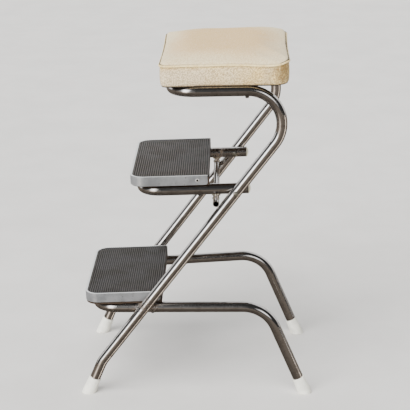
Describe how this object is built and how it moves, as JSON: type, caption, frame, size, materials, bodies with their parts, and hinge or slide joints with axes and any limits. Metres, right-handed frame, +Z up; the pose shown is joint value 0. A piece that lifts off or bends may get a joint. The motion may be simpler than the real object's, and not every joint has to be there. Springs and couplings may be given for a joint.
{
  "type": "folding step stool chair",
  "caption": "Chrome tube step stool chair with a padded seat, a fixed ribbed tread as footrest and a ribbed middle step that flips up and over behind the diagonals.",
  "frame": {"origin": "on the floor, under the middle of the whole stool's box", "axes": "+Z up; +X to the left of a person on the seat; -Y to the front, where the treads are"},
  "size_m": [0.3526, 0.4893, 0.7296],
  "materials": {
    "chrome": "bright chrome plate on bent steel tube",
    "weld_steel": "rough weld, rusted brown",
    "dull_steel": "dull worn rivet steel",
    "screw_steel": "dark oxidised steel",
    "trim_screw_steel": "bright zinc",
    "edging_aluminium": "satin, lightly marked",
    "ribbed_rubber": "matt charcoal, dusty on the ribs",
    "plywood": "raw plywood, dark with age",
    "ivory_rubber": "satin ivory rubber",
    "ivory_plastic": "satin ivory plastic",
    "seat_vinyl": "cream vinyl, mottled",
    "band_vinyl": "cream vinyl with a golden fleck",
    "piping_vinyl": "pale cream vinyl cord",
    "seat_padding": "cotton and foam filling"
  },
  "bodies": {
    "frame": {"main_frame": "chrome", "lower_frame": "chrome", "frame_welds": "weld_steel", "pivot_rivet_left": "dull_steel", "pivot_rivet_right": "dull_steel", "pivot_washer_left": "dull_steel", "pivot_washer_right": "dull_steel", "seat_screws": "screw_steel", "bottom_tread_screws": "screw_steel", "bottom_edging_screws": "trim_screw_steel", "bottom_tread_edging": "edging_aluminium", "bottom_tread_mat": "ribbed_rubber", "bottom_tread_board": "plywood", "seat_board": "plywood", "foot_front_left": "ivory_rubber", "foot_front_right": "ivory_rubber", "foot_rear_left": "ivory_rubber", "foot_rear_right": "ivory_rubber", "seat_top_panel": "seat_vinyl", "seat_band": "band_vinyl", "seat_piping": "piping_vinyl", "seat_padding": "seat_padding"},
    "middle_step": {"step_frame": "chrome", "stop_bar": "chrome", "stop_lug_left": "chrome", "stop_lug_right": "chrome", "middle_tread_screws": "screw_steel", "middle_edging_screws": "trim_screw_steel", "middle_tread_edging": "edging_aluminium", "middle_tread_mat": "ribbed_rubber", "middle_tread_board": "plywood", "arm_plug_left": "ivory_plastic", "arm_plug_right": "ivory_plastic"}
  },
  "joints": [
    {"name": "step_fold", "type": "hinge", "parent": "frame", "child": "middle_step", "pos_m": [0, 0.08182, 0.4434], "axis": [-1, 0, 0], "range_deg": [0, 135.5]}
  ]
}
